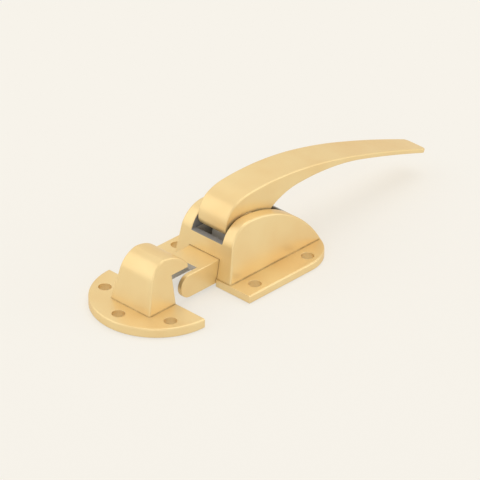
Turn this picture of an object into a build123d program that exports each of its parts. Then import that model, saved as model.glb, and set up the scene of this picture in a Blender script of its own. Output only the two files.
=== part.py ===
from build123d import *
import os
from math import cos, radians, sin, tan

# Icebox latch with its strike, in millimetres.
# While a piece is shaped, X = 0 is the foot of the latch's front wall, +X runs towards the
# lever's tip, Y = 0 is the middle and Z = 0 is the face that goes against the door.
# At export the origin moves to the middle of the latch's four screw holes.

# Latch flange
flange_width = 40.0
flange_length = 40.8
flange_thickness = 2.4
flange_corner = 13.9
flange_edge_round = 0.5
screw_hole_radius = 2.0
front_hole_x = 6.4
hole_pitch_x = 22.8
hole_edge_margin = 4.0

# Latch housing: front wall and domed cheeks
housing_half_width = 11.8
housing_draft = 6.0
housing_height = 19.6
front_wall_height = 13.6
front_wall_rake = 2.4
shoulder_lean = 16.0
front_wall_inner_x = 4.1
dome_tail_setback = 1.2
dome_edge_round = 0.6
cavity_width = 12.5
cavity_end_x = 27.5
slot_edge_round = 0.35

# Running clearances
slide_clearance = 0.15
running_clearance = 0.05
lever_side_clearance = 0.25
fork_clearance = 0.15

# Back plate and its screws
plate_thickness = 0.8
plate_length = 31.0
plate_width = 20.8
plate_start_x = 5.0
plate_corner = 2.0
plate_screw_inset_x = 4.0
plate_screw_inset_y = 1.8
plate_screw_radius = 1.0
plate_screw_head_radius = 1.7
plate_screw_length = 5.5
plate_screw_slot = 0.4

# Bolt
bolt_reach = 14.4
bolt_height = 7.6
bolt_wall = 1.5
bolt_roof = 1.8
bolt_roof_reach = 6.4
bolt_web = 3.0
bolt_travel = 4.8
bolt_end_clearance = 0.6
stop_lug_length = 1.55
stop_lug_height = 1.5
bolt_edge_round = 0.25

# Lever pivot, hub and finger
pivot_x = 13.4
pivot_depth = 4.1
pivot_pin_radius = 2.0
pivot_pin_seat = 3.0
lever_swing = 25.0
hub_radius = 5.0
hub_boss_radius = 4.0
hub_back_angle = 40.0
hub_front_angle = 66.0
finger_width = 8.0
finger_half_depth = 3.4
finger_corner = 1.7
finger_tip_reach = 2.4
finger_slot_lead = 0.65
drive_pin_radius = 1.3

# Lever blade, measured from the pivot: along the lever, then up. Under blade_fall the
# blade's lower side is fall_depth further along and down.
nose_reach = 9.0
nose_rise = 1.8
chin_reach = 8.2
chin_drop = 0.4
blade_brow = (-4.4, 8.75)
blade_crown = (1.5, 10.2)
blade_back = (16.8, 10.25)
blade_bend = (32.2, 8.15)
blade_fall = (51.3, 3.35)
tip_reach = 82.4
tip_drop = 7.35
fall_depth = (0.1, 1.75)
under_arch = (22.1, 4.95)
under_bend = (13.1, 2.5)
under_root = (8.0, -3.3)
flare_start = 11.0
flare_widest = 36.0
blade_half_width = 6.1
tip_half_width = 5.0
tip_thickness = 1.5
blade_draft = 2.0
blade_edge_round = 0.4
tip_corner = 1.6

# Bolt spring and its guide rod
spring_wire = 0.8
spring_mean_radius = 2.4
spring_turns = 4
spring_length = 10.2
guide_rod_radius = 1.2
guide_rod_seat = 2.6
guide_rod_overlap = 2.1
pocket_half_width = 4.0

# Strike
strike_gap = 18.7
strike_radius = 19.9
strike_thickness = 2.8
strike_hole_margin = 4.3
strike_hole_angle = 60.0
hood_length = 10.9
hood_half_width = 8.0
hood_side_draft = 7.5
hood_front_rake = 14.0
hood_front_height = 12.6
hood_height = 17.9
hood_crown_x = 2.8
hook_reach = 6.4
hook_underside = 12.2
hook_tip_height = 13.4
hook_lip_lean = 0.2
hood_heel_lean = 0.5
hood_wall = 2.2
hood_edge_round = 0.5
strike_edge_round = 0.5

# Places that follow from the sizes above
origin_x = front_hole_x + hole_pitch_x / 2
hole_pitch_y = flange_width - 2 * hole_edge_margin
strike_hole_circle = strike_radius - strike_hole_margin
pivot_z = housing_height - pivot_depth
bolt_bottom = plate_thickness + slide_clearance
bolt_top = bolt_bottom + bolt_height
bolt_mid = bolt_bottom + bolt_height / 2
bolt_width = cavity_width - 2 * slide_clearance
window_top = bolt_top + slide_clearance
bolt_end_x = cavity_end_x - bolt_travel - bolt_end_clearance
web_start_x = bolt_end_x - bolt_web
stop_lug_x = front_wall_inner_x + slide_clearance
roof_end_x = stop_lug_x + stop_lug_length
lever_half_width = cavity_width / 2 - lever_side_clearance
drive_drop = pivot_z - bolt_mid
drive_pin_x = pivot_x - drive_drop * tan(radians(lever_swing / 2))
spring_end_x = bolt_end_x + spring_length
overshoot = 1.0


def side_face(outline):
    """A closed outline drawn as (X, Z), standing in the lengthwise plane."""
    return Plane.XZ * make_face(outline)


def across(outline, width):
    """A solid of one side outline, width wide and centred on Y = 0."""
    return extrude(side_face(outline), width / 2, both=True)


def block(x0, x1, width, z0, z1):
    """A plain block centred on Y = 0."""
    size = Box(x1 - x0, width, z1 - z0, align=(Align.MIN, Align.CENTER, Align.MIN))
    return Pos(x0, 0, z0) * size


def cross_pin(x, z, radius, length):
    """A cylinder along Y, centred on Y = 0."""
    return Pos(x, 0, z) * Rot(90, 0, 0) * Cylinder(radius, length)


def long_pin(x0, x1, z, radius):
    """A cylinder along X from x0 to x1."""
    rod = Cylinder(radius, x1 - x0, align=(Align.CENTER, Align.CENTER, Align.MIN))
    return Pos(x0, 0, z) * Rot(0, 90, 0) * rod


def screw_hole(x, y, thickness):
    """A cutter for one wood-screw hole through a flange."""
    return Pos(x, y, thickness / 2) * Cylinder(screw_hole_radius, thickness + 2 * overshoot)


def tapered_width(half_width, base_z, top_z, draft, x0, x1):
    """A long prism whose sides lean in with height; half_width is met at base_z."""
    top = half_width - (top_z - base_z) * tan(radians(draft))
    foot = half_width + base_z * tan(radians(draft))
    section = Polyline((-foot, 0), (foot, 0), (top, top_z), (-top, top_z), close=True)
    return Pos(x0, 0, 0) * extrude(Plane.YZ * make_face(section), x1 - x0)


def plate_screw_places():
    """The middles of the four back plate screws."""
    near_x = plate_start_x + plate_screw_inset_x
    far_x = plate_start_x + plate_length - plate_screw_inset_x
    side_y = plate_width / 2 - plate_screw_inset_y
    return [(x, y) for x in (near_x, far_x) for y in (-side_y, side_y)]


# Latch housing
def dome_outline():
    """The side outline of wall and cheeks: raked front, round shoulder, long falling back."""
    lean = radians(shoulder_lean)
    shoulder = (housing_height - front_wall_height) / (1 - sin(lean))
    crown_x = front_wall_rake + shoulder * cos(lean)
    tail = (flange_length - dome_tail_setback, flange_thickness)
    front = Line((0, 0), (front_wall_rake, front_wall_height))
    round_over = TangentArc(front @ 1, (crown_x, housing_height), tangent=(sin(lean), cos(lean)))
    back = TangentArc(round_over @ 1, tail, tangent=(1, 0))
    drop = Line(back @ 1, (tail[0], 0))
    return front + round_over + back + drop + Line(drop @ 1, (0, 0))


def make_flange():
    """The flange, square in front and round at its two rear corners."""
    flange = block(0, flange_length, flange_width, 0, flange_thickness)
    rear = flange.edges().filter_by(Axis.Z).sort_by(Axis.X)[-2:]
    flange = fillet(rear, flange_corner)
    rim = flange.faces().sort_by(Axis.Z)[-1].edges().filter_by(lambda e: e.center().X > overshoot)
    return fillet(rim, flange_edge_round)


def make_dome():
    """Wall and cheeks before the cavity is cut, with their side edges rounded."""
    lean = tapered_width(
        housing_half_width, flange_thickness, housing_height + overshoot, housing_draft,
        -overshoot, flange_length + overshoot,
    )
    dome = across(dome_outline(), flange_width) & lean
    rim = [e for e in dome.edges() if e.center().Z > flange_thickness and abs(e.center().Y) > overshoot]
    return fillet(rim, dome_edge_round)


def slot_edges(housing):
    """The rim of the lever's slot above the front wall: the inner edges of both cheeks and its end."""
    above_wall = [e for e in housing.edges() if e.center().Z > front_wall_height + slot_edge_round]
    return [e for e in above_wall if abs(e.center().Y) < cavity_width / 2 + slot_edge_round]


def spring_pocket():
    """The round-topped pocket behind the bolt, open to the back plate."""
    roof_centre = bolt_mid
    section = Pos(0, roof_centre) * Circle(pocket_half_width)
    section += Pos(0, roof_centre / 2 - overshoot) * Rectangle(
        2 * pocket_half_width, roof_centre + 2 * overshoot
    )
    length = spring_end_x - cavity_end_x + overshoot
    return Pos(cavity_end_x - overshoot, 0, 0) * extrude(Plane.YZ * section, length)


def make_housing():
    """One casting: flange and cheeks, with the lever's slot, the bolt's window and the spring's pocket."""
    housing = make_flange() + make_dome()
    above = housing_height + overshoot
    housing -= block(front_wall_inner_x, cavity_end_x, cavity_width, -overshoot, above)
    housing -= block(-overshoot, front_wall_inner_x + overshoot, cavity_width, front_wall_height, above)
    housing = fillet(slot_edges(housing), slot_edge_round)
    housing -= block(-overshoot, front_wall_inner_x + overshoot, cavity_width, -overshoot, window_top)
    housing -= spring_pocket()
    housing -= long_pin(spring_end_x - overshoot, spring_end_x + guide_rod_seat, bolt_mid, guide_rod_radius)
    pin_start = -cavity_width / 2 - pivot_pin_seat
    bore = cross_pin(pivot_x, pivot_z, pivot_pin_radius, flange_width)
    housing -= bore & Pos(0, pin_start, 0) * Box(
        4 * flange_length, 2 * flange_width, 4 * housing_height,
        align=(Align.CENTER, Align.MIN, Align.CENTER),
    )
    housing -= plate_shape(plate_thickness, slide_clearance / 2)
    for x, y in plate_screw_places():
        housing -= Pos(x, y, plate_screw_length / 2) * Cylinder(plate_screw_radius, plate_screw_length)
    for x in (front_hole_x, front_hole_x + hole_pitch_x):
        for y in (-hole_pitch_y / 2, hole_pitch_y / 2):
            housing -= screw_hole(x, y, flange_thickness)
    return housing


# Back plate
def plate_shape(thickness, margin):
    """The plate's outline as a solid, grown by margin for the recess that takes it."""
    outline = RectangleRounded(plate_length + 2 * margin, plate_width + 2 * margin, plate_corner + margin)
    return Pos(plate_start_x + plate_length / 2, 0, 0) * extrude(outline, thickness)


def screw_body(grow):
    """One countersunk screw with its head on Z = 0, grown all round for its hole in the plate."""
    head = Cone(
        plate_screw_head_radius + grow, plate_screw_radius + grow, plate_thickness,
        align=(Align.CENTER, Align.CENTER, Align.MIN),
    )
    shank = Cylinder(
        plate_screw_radius + grow, plate_screw_length, align=(Align.CENTER, Align.CENTER, Align.MIN)
    )
    return head + shank


def make_back_plate():
    plate = plate_shape(plate_thickness, 0)
    for x, y in plate_screw_places():
        plate -= Pos(x, y, 0) * screw_body(running_clearance)
    return plate


def make_plate_screw(x, y):
    slot = Box(2 * plate_screw_head_radius + overshoot, plate_screw_slot, plate_screw_slot)
    return Pos(x, y, 0) * (screw_body(0) - slot)


# Bolt
def bolt_outline():
    """The bolt's side outline, round at its nose."""
    nose = bolt_height / 2
    top = Line((bolt_end_x, bolt_top), (nose - bolt_reach, bolt_top))
    tip = ThreePointArc(top @ 1, (-bolt_reach, bolt_mid), (nose - bolt_reach, bolt_bottom))
    floor = Line(tip @ 1, (bolt_end_x, bolt_bottom))
    return top + tip + floor + Line(floor @ 1, (bolt_end_x, bolt_top))


def make_bolt():
    """A channel with two round-nosed prongs, a well for the lever's finger and a rear web."""
    inner = bolt_width - 2 * bolt_wall
    bolt = across(bolt_outline(), bolt_width)
    rim = [e for e in bolt.edges() if abs(e.center().Y) > inner / 2]
    rim = [e for e in rim if e.center().X < bolt_end_x - overshoot]
    bolt = fillet(rim, bolt_edge_round)
    bolt -= block(-bolt_reach - overshoot, -bolt_roof_reach, inner, 0, bolt_top + overshoot)
    bolt -= block(-bolt_reach, roof_end_x + overshoot, inner, 0, bolt_top - bolt_roof)
    bolt -= block(roof_end_x, web_start_x, inner, 0, bolt_top + overshoot)
    bolt += block(stop_lug_x, roof_end_x, inner, bolt_top - bolt_roof, bolt_top + stop_lug_height)
    bolt -= cross_pin(drive_pin_x, bolt_mid, drive_pin_radius, bolt_width + overshoot)
    bolt -= long_pin(
        web_start_x - overshoot, bolt_end_x + overshoot, bolt_mid, guide_rod_radius + running_clearance
    )
    return bolt


# Lever
def tangent_chain(start, direction, points):
    """Arcs from point to point, each leaving in the direction in which the last one ends."""
    chain = [TangentArc(start, points[0], tangent=direction)]
    for point in points[1:]:
        chain.append(TangentArc(chain[-1] @ 1, point, tangent=chain[-1] % 1))
    return chain


def from_pivot(along, up):
    """A point of the lever's side outline, from its distance to the pivot."""
    return (pivot_x + along, pivot_z + up)


def on_hub(angle):
    """A point on the hub's round foot, angle degrees from straight down."""
    return from_pivot(hub_radius * sin(radians(angle)), -hub_radius * cos(radians(angle)))


def lever_outline():
    """The lever's side outline: round nose, long arched blade, thick root and hub."""
    nose = from_pivot(-nose_reach, nose_rise)
    tip = from_pivot(tip_reach, -tip_drop)
    knots = (blade_brow, blade_crown, blade_back, blade_bend, blade_fall)
    top = tangent_chain(nose, (0, 1), [from_pivot(*knot) for knot in knots] + [tip])
    slope = top[-1] % 1
    end = Line(tip, (tip[0] + slope.Y * tip_thickness, tip[1] - slope.X * tip_thickness))
    under_fall = (blade_fall[0] + fall_depth[0], blade_fall[1] - fall_depth[1])
    knots = (under_fall, under_arch, under_bend, under_root)
    under = tangent_chain(end @ 1, (-slope.X, -slope.Y), [from_pivot(*knot) for knot in knots])
    web = Line(under[-1] @ 1, on_hub(hub_back_angle))
    hub = ThreePointArc(web @ 1, on_hub(0), on_hub(-hub_front_angle))
    chin = from_pivot(-chin_reach, -chin_drop)
    front = TangentArc(nose, chin, tangent=(0, -1))
    return Curve() + top + end + under + web + hub + Line(hub @ 1, chin) + front


def blade_side(side):
    """Half-space on one side of the blade: its plan curve, leaning in towards the door."""
    reach = pivot_x + tip_reach + overshoot
    root = (pivot_x + flare_start, lever_half_width)
    straight = Line((0, lever_half_width), root)
    flare = ThreePointArc(root, (pivot_x + flare_widest, blade_half_width), (reach, tip_half_width))
    far = -flange_width
    around = Polyline((reach, tip_half_width), (reach, far), (0, far), (0, lever_half_width))
    top = pivot_z + blade_crown[1] + overshoot
    region = Pos(0, 0, top) * make_face(straight + flare + around)
    prism = extrude(region, top + overshoot, dir=(0, -tan(radians(blade_draft)), -1))
    return prism if side > 0 else mirror(prism, Plane.XZ)


def lever_finger():
    """The forked finger under the hub, drawn upright and then swung to the drive pin."""
    reach = drive_drop + finger_tip_reach
    finger = block(-finger_half_depth, finger_half_depth, finger_width, -reach, 0)
    ends = finger.edges().filter_by(Axis.Y).sort_by(Axis.Z)[:2]
    finger = fillet(ends, finger_corner)
    gap = drive_pin_radius + fork_clearance
    slot_top = drive_drop - finger_slot_lead
    finger -= block(-gap, gap, finger_width + overshoot, -reach - overshoot, -slot_top)
    finger -= cross_pin(0, -slot_top, gap, finger_width + overshoot)
    return Pos(pivot_x, 0, pivot_z) * Rot(0, lever_swing / 2, 0) * finger


def make_blade():
    """The lever's blade and root, with its corners at the tip and its long edges rounded."""
    blade = across(lever_outline(), flange_width) & blade_side(1) & blade_side(-1)
    end_x = pivot_x + tip_reach - overshoot
    tip_edges = [e for e in blade.edges() if e.center().X > end_x]
    blade = fillet([e for e in tip_edges if abs(e.center().Y) > tip_half_width / 2], tip_corner)
    side = [e for e in blade.edges() if abs(e.center().Y) > tip_half_width / 2 or e.center().X > end_x]
    root_x = pivot_x + flare_start
    long_edges = [e for e in side if e.center().X > root_x or e.center().Z > pivot_z + nose_rise]
    return fillet(long_edges, blade_edge_round)


def make_lever():
    lever = make_blade()
    lever += cross_pin(pivot_x, pivot_z, hub_boss_radius, 2 * lever_half_width)
    lever += lever_finger()
    lever -= cross_pin(pivot_x, pivot_z, pivot_pin_radius + running_clearance, flange_width)
    return lever


# Pins, rod and spring
def make_pivot_pin():
    """Pressed in from the far cheek and dressed flush; blind in the near cheek."""
    start = -cavity_width / 2 - pivot_pin_seat
    flush = housing_half_width - (pivot_z - flange_thickness) * tan(radians(housing_draft))
    length = flush - pivot_pin_radius * tan(radians(housing_draft)) - start
    pin = Cylinder(pivot_pin_radius, length, align=(Align.CENTER, Align.CENTER, Align.MIN))
    return Pos(pivot_x, start, pivot_z) * Rot(-90, 0, 0) * pin


def make_drive_pin():
    return cross_pin(drive_pin_x, bolt_mid, drive_pin_radius, bolt_width)


def make_guide_rod():
    start = bolt_end_x - guide_rod_overlap
    return long_pin(start, spring_end_x + guide_rod_seat, bolt_mid, guide_rod_radius)


def make_spring():
    """The coil spring, at one pitch between the bolt's web and the end of its pocket."""
    length = spring_length - spring_wire - 2 * slide_clearance
    path = Helix(length / spring_turns, length, spring_mean_radius)
    wire = sweep(Plane(origin=path @ 0, z_dir=path % 0) * Circle(spring_wire / 2), path=path)
    start = bolt_end_x + spring_wire / 2 + slide_clearance
    return Pos(start, 0, bolt_mid) * Rot(0, 90, 0) * wire


# Strike
def hood_outline(wall):
    """The hood's side outline; a wall above zero gives the hollow inside it."""
    rake = tan(radians(hood_front_rake))
    foot_x = -strike_gap - hood_length
    knee = (foot_x + (hood_front_height - strike_thickness) * rake + wall, hood_front_height)
    foot = (knee[0] - hood_front_height * rake, 0)
    crown = (-strike_gap - hood_crown_x, hood_height - wall)
    front = Line(foot, knee)
    shoulder = TangentArc(knee, crown, tangent=(rake, 1))
    return front, shoulder


def hood_taper(half_width, top_z):
    """The wedge that gives the hood, or the hollow under it, its leaning sides."""
    return tapered_width(
        half_width, strike_thickness, top_z, hood_side_draft, -strike_gap - strike_radius, overshoot
    )


def make_hood():
    """The solid hood and hook, before it is hollowed."""
    front, shoulder = hood_outline(0)
    lip = (hook_reach - strike_gap, hook_tip_height)
    brow = TangentArc(shoulder @ 1, lip, tangent=(1, 0))
    heel = (-strike_gap - hood_heel_lean, hook_underside)
    inside = Polyline(
        lip, (lip[0] - hook_lip_lean, hook_underside), heel,
        (-strike_gap, strike_thickness), (-strike_gap, 0),
    )
    outline = front + shoulder + brow + inside + Line(inside @ 1, front @ 0)
    hood = across(outline, flange_width) & hood_taper(hood_half_width, hood_height + overshoot)
    rim = [e for e in hood.edges() if abs(e.center().Y) > overshoot and e.center().Z > strike_thickness]
    outside = [e for e in rim if e.center().Z > hook_tip_height or e.center().X < heel[0] - overshoot]
    return fillet(outside, hood_edge_round)


def hood_hollow():
    """The space under the hood, open at the bottom and towards the latch."""
    front, shoulder = hood_outline(hood_wall)
    back_x = -strike_gap - hood_heel_lean
    back_line = Polyline(
        shoulder @ 1, (back_x, (shoulder @ 1).Y), (back_x, hook_underside), (overshoot, hook_underside),
        (overshoot, 0),
    )
    outline = front + shoulder + back_line + Line((overshoot, 0), front @ 0)
    return across(outline, flange_width) & hood_taper(hood_half_width - hood_wall, hood_height)


def make_strike():
    """Half-round plate with a hooked hood, hollow under the hood and open towards the latch."""
    disc = Cylinder(strike_radius, strike_thickness, align=(Align.CENTER, Align.CENTER, Align.MIN))
    span = 2 * strike_radius
    half = Box(span, span, span, align=(Align.MAX, Align.CENTER, Align.CENTER))
    plate = disc & half
    rim = plate.edges().filter_by(GeomType.CIRCLE).sort_by(Axis.Z)[-1]
    plate = fillet(rim, strike_edge_round)
    strike = Pos(-strike_gap, 0, 0) * plate + make_hood() - hood_hollow()
    for angle in (-strike_hole_angle, 0, strike_hole_angle):
        x = -strike_gap - strike_hole_circle * cos(radians(angle))
        strike -= screw_hole(x, strike_hole_circle * sin(radians(angle)), strike_thickness)
    return strike


pieces = {
    "latch_housing": make_housing(),
    "back_plate": make_back_plate(),
    "lever_pivot_pin": make_pivot_pin(),
    "lever_handle": make_lever(),
    "latch_bolt": make_bolt(),
    "bolt_drive_pin": make_drive_pin(),
    "spring_guide_rod": make_guide_rod(),
    "bolt_spring": make_spring(),
    "strike": make_strike(),
}
for number, (x, y) in enumerate(plate_screw_places(), start=1):
    pieces["plate_screw_" + str(number)] = make_plate_screw(x, y)

os.makedirs("parts", exist_ok=True)
for node, solid in pieces.items():
    export_step(Pos(-origin_x, 0, 0) * solid, "parts/" + node + ".step")
print("drive pin at x", round(drive_pin_x - origin_x, 3), "z", round(bolt_mid, 3))
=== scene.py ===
import bpy
from math import cos, pi, radians, sin
from mathutils import Matrix, Vector


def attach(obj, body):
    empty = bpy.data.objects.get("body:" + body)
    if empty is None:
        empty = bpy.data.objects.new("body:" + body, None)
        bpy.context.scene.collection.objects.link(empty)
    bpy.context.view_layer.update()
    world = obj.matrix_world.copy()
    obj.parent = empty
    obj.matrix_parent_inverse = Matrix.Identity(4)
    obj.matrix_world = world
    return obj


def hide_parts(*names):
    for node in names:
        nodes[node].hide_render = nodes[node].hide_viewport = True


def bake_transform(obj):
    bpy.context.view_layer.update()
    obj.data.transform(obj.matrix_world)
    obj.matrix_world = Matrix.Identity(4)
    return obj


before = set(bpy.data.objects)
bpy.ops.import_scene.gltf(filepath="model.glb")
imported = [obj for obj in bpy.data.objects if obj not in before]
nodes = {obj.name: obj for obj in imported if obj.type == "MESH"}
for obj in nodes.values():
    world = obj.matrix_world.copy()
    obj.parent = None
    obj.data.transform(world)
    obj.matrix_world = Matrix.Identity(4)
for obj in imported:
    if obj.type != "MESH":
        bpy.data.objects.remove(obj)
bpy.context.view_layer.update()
mm = 0.001
print("frame loaded,", len(nodes), "nodes")


def linear(hexColour):
    parts = [int(hexColour[i:i + 2], 16) / 255 for i in (1, 3, 5)]
    return [c / 12.92 if c <= 0.04045 else ((c + 0.055) / 1.055) ** 2.4 for c in parts] + [1.0]


def addNode(tree, kind, inputs=None, **settings):
    node = tree.nodes.new(kind)
    for name, value in settings.items():
        setattr(node, name, value)
    for key, value in (inputs or {}).items():
        if isinstance(value, bpy.types.NodeSocket):
            tree.links.new(value, node.inputs[key])
        else:
            node.inputs[key].default_value = value
    return node


def newMaterial(name):
    material = bpy.data.materials.new(name)
    material.use_nodes = True
    material.node_tree.nodes.clear()
    return material, material.node_tree


# camera
view = {
    "azimuth": -46.695,      # degrees, 0 looks along +Y
    "elevation": 30.416,
    "roll": 0.840,
    "distance": 1.1851,      # metres from the aim point
    "aim": (-0.0178, 0, 0),  # foot of the latch's front wall
    "offset": (-0.011652, -0.011496),
    "lens": 300,             # mm
}


def placeCamera(v):
    az, el, roll = (radians(v[k]) for k in ("azimuth", "elevation", "roll"))
    back = Vector((sin(az) * cos(el), -cos(az) * cos(el), sin(el)))
    right = Vector((cos(az), sin(az), 0))
    up = back.cross(right)
    turnedRight = right * cos(roll) + up * sin(roll)
    turnedUp = up * cos(roll) - right * sin(roll)
    eye = Vector(v["aim"]) - turnedRight * v["offset"][0] - turnedUp * v["offset"][1] + back * v["distance"]
    data = bpy.data.cameras.new("camera")
    data.lens = v["lens"]
    data.clip_end = 50
    cam = bpy.data.objects.new("camera", data)
    bpy.context.scene.collection.objects.link(cam)
    cam.matrix_world = Matrix.LocRotScale(
        eye, Matrix((turnedRight, turnedUp, back)).transposed().to_quaternion(), None)
    bpy.context.scene.camera = cam


placeCamera(view)
bpy.context.scene.view_settings.view_transform = "Standard"
print("camera placed")

# studio: pale floor, pale room and four soft lamps
studio = {
    "page": "#F7F2E8",
    "paper": "#FCF9F2",
    "floorSize": 6.0,
    "floorDrop": 0.2 * mm,
    "roomLight": 0.62,
    "paperGlow": 0.62,       # how much of the paper's tone the camera and the metal see without its shade
    "paperBounce": 0.3,      # and how much every other ray sees, so that undersides aren't black
    "lamps": {               # direction from the object, distance in m, size in m, watts
        "keyLamp": ((-0.58, 0.59, 0.5), 1.0, 1.2, 2.15),
        "topLamp": ((0.35, 0.1, 1.0), 1.1, 0.9, 2.7),
        "leftLamp": ((-0.9, -0.75, 0.4), 1.3, 0.8, 1.8),
        "rightLamp": ((0.65, -0.75, 0.3), 1.1, 0.8, 1.8),
    },
}


# 1 for the rays of the camera, of reflections and of refractions, and 0 for all other light
def seenRays(tree):
    ray = addNode(tree, "ShaderNodeLightPath").outputs
    seen = addNode(tree, "ShaderNodeMath", {0: ray["Is Camera Ray"], 1: ray["Is Glossy Ray"]},
                   operation="MAXIMUM")
    return addNode(tree, "ShaderNodeMath", {0: seen.outputs[0], 1: ray["Is Transmission Ray"]},
                   operation="MAXIMUM").outputs[0]


def makeRoom(s):
    world = bpy.data.worlds.new("paleRoom")
    world.use_nodes = True
    bpy.context.scene.world = world
    tree = world.node_tree
    tree.nodes.clear()
    light = addNode(tree, "ShaderNodeBackground", {"Color": linear("#FFFFFF"), "Strength": s["roomLight"]})
    page = addNode(tree, "ShaderNodeBackground", {"Color": linear(s["page"]), "Strength": 1.0})
    mix = addNode(tree, "ShaderNodeMixShader", {0: seenRays(tree), 1: light.outputs[0], 2: page.outputs[0]})
    addNode(tree, "ShaderNodeOutputWorld", {"Surface": mix.outputs[0]})


def makeFloor(s):
    half = s["floorSize"] / 2
    z = -s["floorDrop"]
    mesh = bpy.data.meshes.new("floor")
    corners = [(-half, -half, z), (half, -half, z), (half, half, z), (-half, half, z)]
    mesh.from_pydata(corners, [], [(0, 1, 2, 3)])
    floor = bpy.data.objects.new("floor", mesh)
    bpy.context.scene.collection.objects.link(floor)
    material, tree = newMaterial("matPaper")   # flat matte paper, clear from below
    share = addNode(tree, "ShaderNodeMapRange", {"Value": seenRays(tree), "To Min": s["paperBounce"],
                                                 "To Max": s["paperGlow"]})
    under = addNode(tree, "ShaderNodeNewGeometry")
    paper = addNode(tree, "ShaderNodeBsdfDiffuse", {"Color": linear(s["paper"])})
    glow = addNode(tree, "ShaderNodeEmission", {"Color": linear(s["page"]), "Strength": 1.0})
    paper = addNode(tree, "ShaderNodeMixShader",
                    {0: share.outputs[0], 1: paper.outputs[0], 2: glow.outputs[0]})
    clear = addNode(tree, "ShaderNodeBsdfTransparent")
    mix = addNode(tree, "ShaderNodeMixShader",
                  {0: under.outputs["Backfacing"], 1: paper.outputs[0], 2: clear.outputs[0]})
    addNode(tree, "ShaderNodeOutputMaterial", {"Surface": mix.outputs[0]})
    mesh.materials.append(material)


def makeLamps(s):
    for name, (direction, distance, size, watts) in s["lamps"].items():
        data = bpy.data.lights.new(name, "AREA")
        data.shape = "DISK"
        data.size = size
        data.energy = watts
        lamp = bpy.data.objects.new(name, data)
        lamp.visible_camera = False
        bpy.context.scene.collection.objects.link(lamp)
        away = Vector(direction).normalized()
        lamp.matrix_world = Matrix.LocRotScale(away * distance, away.to_track_quat("Z", "Y"), None)


makeRoom(studio)
makeFloor(studio)
makeLamps(studio)
print("studio lit")

# buffed cast brass: a warm pale yellow metal with a soft mirror from the buffing wheel and faint streaks,
# brown tarnish and painted shade in its inner corners, outer edges rubbed bright with a painted highlight,
# and the dull grey skin of the casting where no wheel reached, its tone holding painted light and shade
brass = {
    "buffed": "#F1D8A1",
    "warmer": "#EDCE94",        # the tone drifts slowly between these two
    "driftSize": 14 * mm,
    "driftSpan": (0.35, 0.7),
    "buffedMetal": 0.5,         # the satin lacquer scatters the rest of the light
    "grazing": "#E8C88A",       # brass stays yellow where it is seen edge on
    "lacquer": 0.3,
    "lacquerRoughness": 0.2,
    "buffedRoughness": 0.36,
    "smoother": 0.05,           # how far the streaks change it
    "rougher": 0.07,
    "streak": (6 * mm, 0.3 * mm, 0.3 * mm),   # real buffing lines are finer; this is as coarse as shows
    "streakSpan": (0.3, 0.7),
    "streakDepth": 0.004 * mm,
    # tarnish and painted shade: the brown laid into the inner corners that the AO node finds
    "tarnishAndShade": "#7A5C30",
    "tarnishAndShadeReach": 0.8 * mm,
    "tarnishAndShadeSpan": (0.9, 0.45),  # how open a corner is where the tarnish and painted shade begin, and where they are full
    "tarnishAndShadeShare": 0.9,
    "tarnishDulls": 0.3,        # how much it adds to the roughness
    "patchSize": 3 * mm,
    "patchSpan": (0.3, 0.6),
    "patchLeast": 0.5,
    # rubbed edges: worn paler brass with a painted highlight along each outer edge
    "rubbedEdgeAndHighlight": "#F5E2B4",
    "rubbedEdgeAndHighlightSpan": (0.99, 0.85),  # cosine between the face and its rounded edge, faint and full
    "rubbedEdgeAndHighlightShare": 0.8,
    "rubbedEdgeAndHighlightOpen": 0.9,          # only edges more open than this are rubbed bright and given the painted highlight
    "edgeRadius": 0.2 * mm,
    "skinMetal": 0.0,
    "skinRoughness": 0.62,
    "sandGrain": 0.5 * mm,
    "sandDepth": 0.05 * mm,
    "doorSkin": "#B4AFA6",      # tone of the faces that lie on the door
    "doorFacing": -0.9,         # they face down
    "doorGap": 1.0 * mm,        # and are this near to it
}
# the places that the wheel can't reach: lowest and highest corner in mm, a lean along X and the skin's tone,
# which also holds painted light and shade: darker grey on the lit ledge of the slot and at the rear, paler
# deep in the shaded hollows
skinAndShadeHollows = {
    "latch_housing": [((-2, -6.3, -1), (14.5, 6.3, 18.5), 0, "#989A9C"),
                      ((-15.7, -6.3, 13.3), (-2, 6.3, 18.5), 0, "#898A8B"),
                      ((-17.2, -6.3, -1), (-2, 6.3, 13.3), 0.18, "#CFCBC3")],
    "lever_handle": [((-30, -6.1, 0), (3.0, 6.1, 13.0), 0, "#E6E3DC")],
    "latch_bolt": [((-13.5, -9, 0), (9, 9, 11), 0, "#CFCBC3"),
                   ((-33, -4.7, 0), (-13.5, 4.7, 8.5), 0, "#D6D3CD")],
    "strike": [((-47.0, -5.9, -1), (-36.6, 5.9, 15.6), 0.25, "#B4AFA6")],
}


def span(ends):
    return {"From Min": ends[0], "From Max": ends[1]}


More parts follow.
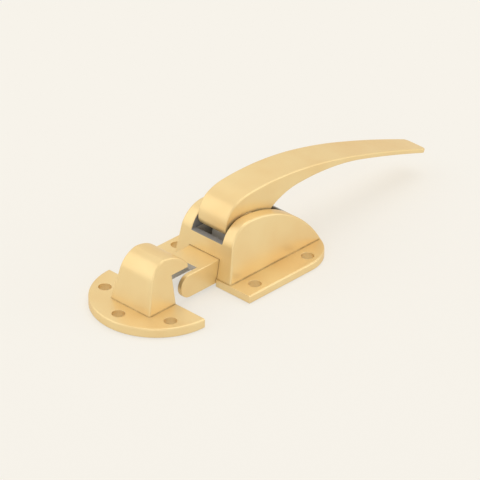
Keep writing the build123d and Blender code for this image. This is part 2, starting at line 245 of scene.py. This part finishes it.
def castBrass(name, b, boxes):
    material, tree = newMaterial(name)
    here = addNode(tree, "ShaderNodeTexCoord").outputs["Object"]
    surface = addNode(tree, "ShaderNodeNewGeometry")
    facing = addNode(tree, "ShaderNodeSeparateXYZ", {0: surface.outputs["True Normal"]})
    height = addNode(tree, "ShaderNodeSeparateXYZ", {0: here}).outputs["Z"]
    # where the casting skin is left: on faces that lie on the door, and in the hollows, whose tones carry
    # painted light and shade
    down = addNode(tree, "ShaderNodeMath", {0: facing.outputs["Z"], 1: b["doorFacing"]},
                   operation="LESS_THAN").outputs[0]
    nearDoor = addNode(tree, "ShaderNodeMath", {0: height, 1: b["doorGap"]}, operation="LESS_THAN").outputs[0]
    skin = addNode(tree, "ShaderNodeMath", {0: down, 1: nearDoor}, operation="MULTIPLY").outputs[0]
    skinAndShadeTone = linear(b["doorSkin"])
    for low, high, lean, skinAndShadeHex in boxes:
        centre = [(p + q) / 2 * mm for p, q in zip(low, high)]
        half = [(q - p) / 2 * mm for p, q in zip(low, high)]
        slid = addNode(tree, "ShaderNodeMath", {0: height, 1: -lean}, operation="MULTIPLY")
        slid = addNode(tree, "ShaderNodeCombineXYZ", {"X": slid.outputs[0]})
        slid = addNode(tree, "ShaderNodeVectorMath", {0: here, 1: slid.outputs[0]}, operation="ADD")
        away = addNode(tree, "ShaderNodeVectorMath", {0: slid.outputs[0], 1: centre}, operation="SUBTRACT")
        away = addNode(tree, "ShaderNodeVectorMath", {0: away.outputs[0], 1: half}, operation="DIVIDE")
        away = addNode(tree, "ShaderNodeVectorMath", {0: away.outputs[0]}, operation="ABSOLUTE")
        away = addNode(tree, "ShaderNodeSeparateXYZ", {0: away.outputs[0]}).outputs
        most = addNode(tree, "ShaderNodeMath", {0: away[0], 1: away[1]}, operation="MAXIMUM").outputs[0]
        most = addNode(tree, "ShaderNodeMath", {0: most, 1: away[2]}, operation="MAXIMUM").outputs[0]
        inside = addNode(tree, "ShaderNodeMath", {0: most, 1: 1.0}, operation="LESS_THAN").outputs[0]
        skin = addNode(tree, "ShaderNodeMath", {0: skin, 1: inside}, operation="MAXIMUM").outputs[0]
        skinAndShadeTone = addNode(tree, "ShaderNodeMix", {"Factor": inside, "A": skinAndShadeTone, "B": linear(skinAndShadeHex)},
                           data_type="RGBA").outputs["Result"]
    # slow drift of the metal's tone
    drift = addNode(tree, "ShaderNodeTexNoise", {"Vector": here, "Scale": 1 / b["driftSize"], "Detail": 2.0})
    drift = addNode(tree, "ShaderNodeMapRange", {"Value": drift.outputs[0], **span(b["driftSpan"])})
    tone = addNode(tree, "ShaderNodeMix", {"Factor": drift.outputs[0], "A": linear(b["buffed"]),
                                           "B": linear(b["warmer"])}, data_type="RGBA")
    # tarnish and painted shade in the inner corners, broken up a little
    corner = addNode(tree, "ShaderNodeAmbientOcclusion", {"Distance": b["tarnishAndShadeReach"]}, samples=8,
                     only_local=True).outputs["AO"]
    recess = addNode(tree, "ShaderNodeMapRange", {"Value": corner, "To Max": b["tarnishAndShadeShare"],
                                                  **span(b["tarnishAndShadeSpan"])})
    patch = addNode(tree, "ShaderNodeTexNoise", {"Vector": here, "Scale": 1 / b["patchSize"], "Detail": 4.0})
    patch = addNode(tree, "ShaderNodeMapRange", {"Value": patch.outputs[0], "To Min": b["patchLeast"],
                                                 **span(b["patchSpan"])})
    tarnishAndShadeMask = addNode(tree, "ShaderNodeMath", {0: recess.outputs[0], 1: patch.outputs[0]}, operation="MULTIPLY")
    tone = addNode(tree, "ShaderNodeMix", {"Factor": tarnishAndShadeMask.outputs[0], "A": tone.outputs["Result"],
                                           "B": linear(b["tarnishAndShade"])}, data_type="RGBA")
    # outer edges rubbed bright, with a painted highlight along them
    soft = addNode(tree, "ShaderNodeBevel", {"Radius": b["edgeRadius"]}, samples=6).outputs[0]
    turn = addNode(tree, "ShaderNodeVectorMath", {0: soft, 1: surface.outputs["True Normal"]},
                   operation="DOT_PRODUCT").outputs["Value"]
    rubbedEdgeAndHighlight = addNode(tree, "ShaderNodeMapRange", {"Value": turn, "To Max": b["rubbedEdgeAndHighlightShare"],
                                                  **span(b["rubbedEdgeAndHighlightSpan"])})
    proud = addNode(tree, "ShaderNodeMath", {0: corner, 1: b["rubbedEdgeAndHighlightOpen"]}, operation="GREATER_THAN")
    rubbedEdgeAndHighlight = addNode(tree, "ShaderNodeMath", {0: rubbedEdgeAndHighlight.outputs[0], 1: proud.outputs[0]},
                     operation="MULTIPLY")
    tone = addNode(tree, "ShaderNodeMix", {"Factor": rubbedEdgeAndHighlight.outputs[0], "A": tone.outputs["Result"],
                                           "B": linear(b["rubbedEdgeAndHighlight"])}, data_type="RGBA")
    tone = addNode(tree, "ShaderNodeMix", {"Factor": skin, "A": tone.outputs["Result"], "B": skinAndShadeTone},
                   data_type="RGBA")
    # buffing streaks along the piece, and sand grain in the skin
    stretched = addNode(tree, "ShaderNodeVectorMath", {0: here, 1: [1 / s for s in b["streak"]]},
                        operation="MULTIPLY")
    streak = addNode(tree, "ShaderNodeTexNoise", {"Vector": stretched.outputs[0], "Scale": 1.0,
                                                  "Detail": 3.0})
    grain = addNode(tree, "ShaderNodeTexNoise", {"Vector": here, "Scale": 1 / b["sandGrain"], "Detail": 2.0})
    bumped = addNode(tree, "ShaderNodeBump", {"Height": streak.outputs[0], "Distance": b["streakDepth"],
                                              "Normal": soft})
    sanded = addNode(tree, "ShaderNodeBump", {"Height": grain.outputs[0], "Distance": b["sandDepth"],
                                              "Strength": skin, "Normal": bumped.outputs[0]})
    rough = addNode(tree, "ShaderNodeMapRange", {"Value": streak.outputs[0], **span(b["streakSpan"]),
                                                 "To Min": b["buffedRoughness"] - b["smoother"],
                                                 "To Max": b["buffedRoughness"] + b["rougher"]})
    rough = addNode(tree, "ShaderNodeMath", {0: tarnishAndShadeMask.outputs[0], 1: b["tarnishDulls"], 2: rough.outputs[0]},
                    operation="MULTIPLY_ADD")
    rough = addNode(tree, "ShaderNodeMix", {"Factor": skin, "A": rough.outputs[0], "B": b["skinRoughness"]})
    metal = addNode(tree, "ShaderNodeMapRange", {"Value": skin, "To Min": b["buffedMetal"],
                                                 "To Max": b["skinMetal"]})
    shader = addNode(tree, "ShaderNodeBsdfPrincipled", {
        "Base Color": tone.outputs["Result"], "Metallic": metal.outputs[0],
        "Roughness": rough.outputs["Result"], "Normal": sanded.outputs[0], "Coat Weight": b["lacquer"],
        "Coat Roughness": b["lacquerRoughness"], "Specular Tint": linear(b["grazing"])})
    addNode(tree, "ShaderNodeOutputMaterial", {"Surface": shader.outputs[0]})
    return material


def dress(name, material):
    nodes[name].data.materials.clear()
    nodes[name].data.materials.append(material)


for piece, boxes in skinAndShadeHollows.items():
    dress(piece, castBrass("matBuffedCastBrass_" + piece, brass, boxes))
print("castings dressed")

# small steel pieces: zinc plated sheet, ground pins and a drawn rod, each bright with its own fine lines
steels = {
    "back_plate": {"name": "matZincPlatedSheet", "colour": "#B9BCBE", "shade": "#9DA1A5", "rough": 0.38,
                   "lines": (8 * mm, 0.25 * mm, 0.25 * mm), "depth": 0.004 * mm},
    "lever_pivot_pin": {"name": "matGroundPin", "colour": "#C4C4C6", "shade": "#A9A9AC", "rough": 0.28,
                        "lines": (0.12 * mm, 4 * mm, 0.12 * mm), "depth": 0.002 * mm},
    "bolt_drive_pin": {"name": "matGroundDrivePin", "colour": "#C4C4C6", "shade": "#A9A9AC", "rough": 0.28,
                       "lines": (0.12 * mm, 4 * mm, 0.12 * mm), "depth": 0.002 * mm},
    "spring_guide_rod": {"name": "matDrawnRod", "colour": "#B4B4B6", "shade": "#939396", "rough": 0.33,
                         "lines": (4 * mm, 0.12 * mm, 0.12 * mm), "depth": 0.002 * mm},
}
# the same on every steel: slow clouds in its tone, and how far the lines change its roughness
steelFinish = {
    "cloudSize": 5 * mm,
    "smoother": 0.06,
    "rougher": 0.1,
}


def steel(s):
    material, tree = newMaterial(s["name"])
    here = addNode(tree, "ShaderNodeTexCoord").outputs["Object"]
    stretched = addNode(tree, "ShaderNodeVectorMath", {0: here, 1: [1 / k for k in s["lines"]]},
                        operation="MULTIPLY")
    line = addNode(tree, "ShaderNodeTexNoise", {"Vector": stretched.outputs[0], "Scale": 1.0, "Detail": 3.0})
    cloud = addNode(tree, "ShaderNodeTexNoise", {"Vector": here, "Scale": 1 / steelFinish["cloudSize"],
                                                "Detail": 3.0})
    tone = addNode(tree, "ShaderNodeMix", {"Factor": cloud.outputs[0], "A": linear(s["colour"]),
                                           "B": linear(s["shade"])}, data_type="RGBA")
    rough = addNode(tree, "ShaderNodeMapRange", {"Value": line.outputs[0],
                                                 "To Min": s["rough"] - steelFinish["smoother"],
                                                 "To Max": s["rough"] + steelFinish["rougher"]})
    bumped = addNode(tree, "ShaderNodeBump", {"Height": line.outputs[0], "Distance": s["depth"]})
    shader = addNode(tree, "ShaderNodeBsdfPrincipled", {
        "Base Color": tone.outputs["Result"], "Metallic": 1.0, "Roughness": rough.outputs[0],
        "Normal": bumped.outputs[0]})
    addNode(tree, "ShaderNodeOutputMaterial", {"Surface": shader.outputs[0]})
    return material


for piece, s in steels.items():
    dress(piece, steel(s))
print("steel pieces dressed")


# Geometry Nodes: a tree with named sizes, grown once on an empty carrier and kept as a plain mesh
def newTree(name, sizes):
    tree = bpy.data.node_groups.new(name, "GeometryNodeTree")
    for key, value in sizes.items():
        kind = "NodeSocketInt" if isinstance(value, int) else "NodeSocketFloat"
        tree.interface.new_socket(key, in_out="INPUT", socket_type=kind)
    tree.interface.new_socket("material", in_out="INPUT", socket_type="NodeSocketMaterial")
    tree.interface.new_socket("mesh", in_out="OUTPUT", socket_type="NodeSocketGeometry")
    return tree, addNode(tree, "NodeGroupInput").outputs


def finishTree(tree, shape, size):
    whole = addNode(tree, "GeometryNodeRealizeInstances", {0: shape})
    smooth = addNode(tree, "GeometryNodeSetShadeSmooth", {"Geometry": whole.outputs[0], "Shade Smooth": True})
    fold = addNode(tree, "GeometryNodeInputMeshEdgeAngle").outputs["Unsigned Angle"]
    sharp = addNode(tree, "ShaderNodeMath", {0: fold, 1: size["crispAngle"]}, operation="GREATER_THAN")
    crisp = addNode(tree, "GeometryNodeSetShadeSmooth", {
        "Geometry": smooth.outputs[0], "Selection": sharp.outputs[0], "Shade Smooth": False}, domain="EDGE")
    made = addNode(tree, "GeometryNodeSetMaterial", {"Geometry": crisp.outputs[0],
                                                     "Material": size["material"]})
    addNode(tree, "NodeGroupOutput", {"mesh": made.outputs[0]})


def grow(name, tree, sizes, material):
    carrier = bpy.data.objects.new(name + "Carrier", bpy.data.meshes.new(name + "Carrier"))
    bpy.context.scene.collection.objects.link(carrier)
    modifier = carrier.modifiers.new(name, "NODES")
    modifier.node_group = tree
    for item in tree.interface.items_tree:
        if item.in_out == "INPUT":
            modifier[item.identifier] = material if item.name == "material" else sizes[item.name]
    grown = carrier.evaluated_get(bpy.context.evaluated_depsgraph_get())
    mesh = bpy.data.meshes.new_from_object(grown)
    bpy.data.objects.remove(carrier)
    piece = bpy.data.objects.new(name, mesh)
    bpy.context.scene.collection.objects.link(piece)
    return piece


# back plate screws: slotted and countersunk, each slot stopped at its own angle
screws = {
    "headRadius": 1.62 * mm,
    "headRim": 0.09 * mm,
    "headHeight": 0.8 * mm,
    "rootRadius": 0.84 * mm,
    "length": 5.5 * mm,
    "endRadius": 0.6 * mm,
    "endChamfer": 0.35 * mm,
    "slotWidth": 0.42 * mm,
    "slotDepth": 0.36 * mm,
    "threadPitch": 0.45 * mm,
    "threadHeight": 0.14 * mm,
    "threadFull": 0.44,         # the ridge is full up to here, from 0 at its middle to 0.5 at its ends
    "threadEnd": 0.05,          # where this share of its height is left
    "middleX": 2.7 * mm,
    "spacingX": 23.0 * mm,
    "spacingY": 17.2 * mm,
    "headSides": 28,
    "threadSteps": 20,          # a turn
    "threadSides": 4,
    "slotSeed": 4,
    "crispAngle": radians(35),  # folds sharper than this stay crisp
}


def screwTree(sizes):
    tree, size = newTree("screwTree", sizes)
    # the turned blank: rings along Z, from the head's face at Z = 0 to the end
    shankEnd = addNode(tree, "ShaderNodeMath", {0: size["length"], 1: size["endChamfer"]},
                       operation="SUBTRACT")
    steps = {
        "height": (0.0, size["headRim"], size["headHeight"], shankEnd.outputs[0], size["length"]),
        "radius": (size["headRadius"], size["headRadius"], size["rootRadius"], size["rootRadius"],
                   size["endRadius"]),
    }
    rings = addNode(tree, "GeometryNodeMeshLine", {"Count": len(steps["height"])})
    rings = addNode(tree, "GeometryNodeMeshToCurve", {"Mesh": rings.outputs[0]})
    number = addNode(tree, "GeometryNodeInputIndex").outputs[0]
    ring = {}
    for measure, values in steps.items():
        pick = addNode(tree, "GeometryNodeIndexSwitch", data_type="FLOAT")
        while len(pick.index_switch_items) < len(values):
            pick.index_switch_items.new()
        tree.links.new(number, pick.inputs["Index"])
        for i, value in enumerate(values):
            if value:
                tree.links.new(value, pick.inputs[str(i)])
        ring[measure] = pick.outputs[0]
    place = addNode(tree, "ShaderNodeCombineXYZ", {"Z": ring["height"]})
    blank = addNode(tree, "GeometryNodeSetPosition", {0: rings.outputs[0], "Position": place.outputs[0]})
    circle = addNode(tree, "GeometryNodeCurvePrimitiveCircle", {"Resolution": size["headSides"],
                                                                "Radius": 1.0})
    blank = addNode(tree, "GeometryNodeCurveToMesh", {
        "Curve": blank.outputs[0], "Profile Curve": circle.outputs[0], "Scale": ring["radius"],
        "Fill Caps": True})
    # the slot, sawn across the head by a block that reaches past its sides and above its face
    across = addNode(tree, "ShaderNodeMath", {0: size["headRadius"], 1: 3.0}, operation="MULTIPLY")
    deep = addNode(tree, "ShaderNodeMath", {0: size["slotDepth"], 1: 2.0}, operation="MULTIPLY")
    saw = addNode(tree, "ShaderNodeCombineXYZ", {0: across.outputs[0], 1: size["slotWidth"],
                                                 2: deep.outputs[0]})
    saw = addNode(tree, "GeometryNodeMeshCube", {"Size": saw.outputs[0]})
    blank = addNode(tree, "GeometryNodeMeshBoolean", {0: blank.outputs[0], 1: saw.outputs[0]},
                    operation="DIFFERENCE", solver="EXACT")
    # the thread: a ridge wound on the shank, running out at both ends
    bare = addNode(tree, "ShaderNodeMath", {0: shankEnd.outputs[0], 1: size["headHeight"]},
                   operation="SUBTRACT")
    turns = addNode(tree, "ShaderNodeMath", {0: bare.outputs[0], 1: size["threadPitch"]}, operation="DIVIDE")
    helix = addNode(tree, "GeometryNodeCurveSpiral", {
        "Resolution": size["threadSteps"], "Rotations": turns.outputs[0],
        "Start Radius": size["rootRadius"], "End Radius": size["rootRadius"], "Height": bare.outputs[0]})
    lift = addNode(tree, "ShaderNodeCombineXYZ", {"Z": size["headHeight"]})
    helix = addNode(tree, "GeometryNodeTransform", {"Geometry": helix.outputs[0],
                                                    "Translation": lift.outputs[0]})
    helix = addNode(tree, "GeometryNodeSetCurveNormal", {"Curve": helix.outputs[0]}, mode="Z_UP")
    ridge = addNode(tree, "GeometryNodeCurvePrimitiveCircle", {"Resolution": size["threadSides"],
                                                               "Radius": size["threadHeight"]})
    along = addNode(tree, "GeometryNodeSplineParameter").outputs["Factor"]
    fade = addNode(tree, "ShaderNodeMath", {0: along, 1: 0.5}, operation="SUBTRACT")
    fade = addNode(tree, "ShaderNodeMath", {0: fade.outputs[0]}, operation="ABSOLUTE")
    fade = addNode(tree, "ShaderNodeMapRange", {"Value": fade.outputs[0], "From Min": 0.5,
                                                "From Max": size["threadFull"], "To Min": size["threadEnd"]})
    thread = addNode(tree, "GeometryNodeCurveToMesh", {
        "Curve": helix.outputs[0], "Profile Curve": ridge.outputs[0], "Scale": fade.outputs[0],
        "Fill Caps": True})
    screw = addNode(tree, "GeometryNodeJoinGeometry")
    for part in (blank, thread):
        tree.links.new(part.outputs[0], screw.inputs[0])
    # one screw in each corner of the plate
    corners = addNode(tree, "GeometryNodeMeshGrid", {
        "Size X": size["spacingX"], "Size Y": size["spacingY"], "Vertices X": 2, "Vertices Y": 2})
    shift = addNode(tree, "ShaderNodeCombineXYZ", {"X": size["middleX"]})
    corners = addNode(tree, "GeometryNodeTransform", {"Geometry": corners.outputs[0],
                                                      "Translation": shift.outputs[0]})
    turned = addNode(tree, "FunctionNodeRandomValue", {"Min": 0.0, "Max": pi, "Seed": size["slotSeed"]},
                     data_type="FLOAT")
    turned = addNode(tree, "FunctionNodeAxisAngleToRotation", {"Axis": (0, 0, 1),
                                                               "Angle": turned.outputs["Value"]})
    placed = addNode(tree, "GeometryNodeInstanceOnPoints", {
        "Points": corners.outputs[0], "Instance": screw.outputs[0], "Rotation": turned.outputs[0]})
    finishTree(tree, placed.outputs[0], size)
    return tree


plateScrews = grow("plateScrews", screwTree(screws), screws, steel({
    "name": "matZincPlatedScrew", "colour": "#C3C6C8", "shade": "#A4A8AC", "rough": 0.3,
    "lines": (0.9 * mm, 0.08 * mm, 0.9 * mm), "depth": 0.003 * mm}))
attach(plateScrews, "latch")
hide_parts("plate_screw_1", "plate_screw_2", "plate_screw_3", "plate_screw_4")
print("back plate screws made")

# bolt spring: hard drawn wire, coiled with one closed turn at each end
spring = {
    "wireRadius": 0.4 * mm,
    "coilRadius": 2.4 * mm,
    "turns": 5.5,
    "closedTurns": 1.0,
    "startX": 4.85 * mm,     # middle of the wire where it lies against the bolt
    "endX": 13.95 * mm,      # and at the end of its pocket
    "axisZ": 4.75 * mm,
    "points": 155,           # 28 a turn
    "wireSides": 12,
    "crispAngle": radians(50),
}


def springTree(sizes):
    tree, size = newTree("springTree", sizes)
    path = addNode(tree, "GeometryNodeMeshLine", {"Count": size["points"]})
    path = addNode(tree, "GeometryNodeMeshToCurve", {"Mesh": path.outputs[0]})
    number = addNode(tree, "GeometryNodeInputIndex").outputs[0]
    last = addNode(tree, "ShaderNodeMath", {0: size["points"], 1: 1.0}, operation="SUBTRACT")
    turn = addNode(tree, "ShaderNodeMath", {0: number, 1: last.outputs[0]}, operation="DIVIDE")
    turn = addNode(tree, "ShaderNodeMath", {0: turn.outputs[0], 1: size["turns"]}, operation="MULTIPLY")
    angle = addNode(tree, "ShaderNodeMath", {0: turn.outputs[0], 1: 2 * pi}, operation="MULTIPLY")
    # the closed turns advance by one wire a turn, and the open ones share what is left
    wire = addNode(tree, "ShaderNodeMath", {0: size["wireRadius"], 1: 2.0}, operation="MULTIPLY")
    closed = addNode(tree, "ShaderNodeMath", {0: wire.outputs[0], 1: size["closedTurns"]},
                     operation="MULTIPLY")
    lastOpen = addNode(tree, "ShaderNodeMath", {0: size["turns"], 1: size["closedTurns"]},
                       operation="SUBTRACT")
    nearX = addNode(tree, "ShaderNodeMath", {0: size["startX"], 1: closed.outputs[0]}, operation="ADD")
    farX = addNode(tree, "ShaderNodeMath", {0: size["endX"], 1: closed.outputs[0]}, operation="SUBTRACT")
    openX = addNode(tree, "ShaderNodeMapRange", {
        "Value": turn.outputs[0], "From Min": size["closedTurns"], "From Max": lastOpen.outputs[0],
        "To Min": nearX.outputs[0], "To Max": farX.outputs[0]})
    before = addNode(tree, "ShaderNodeMath", {0: turn.outputs[0], 1: size["closedTurns"]},
                     operation="SUBTRACT")
    before = addNode(tree, "ShaderNodeMath", {0: before.outputs[0], 1: 0.0}, operation="MINIMUM")
    after = addNode(tree, "ShaderNodeMath", {0: turn.outputs[0], 1: lastOpen.outputs[0]},
                    operation="SUBTRACT")
    after = addNode(tree, "ShaderNodeMath", {0: after.outputs[0], 1: 0.0}, operation="MAXIMUM")
    ends = addNode(tree, "ShaderNodeMath", {0: before.outputs[0], 1: after.outputs[0]}, operation="ADD")
    alongX = addNode(tree, "ShaderNodeMath", {0: ends.outputs[0], 1: wire.outputs[0], 2: openX.outputs[0]},
                     operation="MULTIPLY_ADD")
    across = addNode(tree, "ShaderNodeMath", {0: angle.outputs[0]}, operation="COSINE")
    across = addNode(tree, "ShaderNodeMath", {0: across.outputs[0], 1: size["coilRadius"]},
                     operation="MULTIPLY")
    up = addNode(tree, "ShaderNodeMath", {0: angle.outputs[0]}, operation="SINE")
    up = addNode(tree, "ShaderNodeMath", {0: up.outputs[0], 1: size["coilRadius"], 2: size["axisZ"]},
                 operation="MULTIPLY_ADD")
    place = addNode(tree, "ShaderNodeCombineXYZ", {0: alongX.outputs[0], 1: across.outputs[0],
                                                   2: up.outputs[0]})
    path = addNode(tree, "GeometryNodeSetPosition", {0: path.outputs[0], "Position": place.outputs[0]})
    section = addNode(tree, "GeometryNodeCurvePrimitiveCircle", {"Resolution": size["wireSides"],
                                                                 "Radius": size["wireRadius"]})
    coil = addNode(tree, "GeometryNodeCurveToMesh", {
        "Curve": path.outputs[0], "Profile Curve": section.outputs[0], "Fill Caps": True})
    finishTree(tree, coil.outputs[0], size)
    return tree


boltSpring = grow("boltSpring", springTree(spring), spring, steel({
    "name": "matHardDrawnWire", "colour": "#8E8B86", "shade": "#6F6C68", "rough": 0.36,
    "lines": (1.5 * mm, 0.2 * mm, 0.2 * mm), "depth": 0.003 * mm}))
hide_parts("bolt_spring")
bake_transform(boltSpring)
print("bolt spring made")
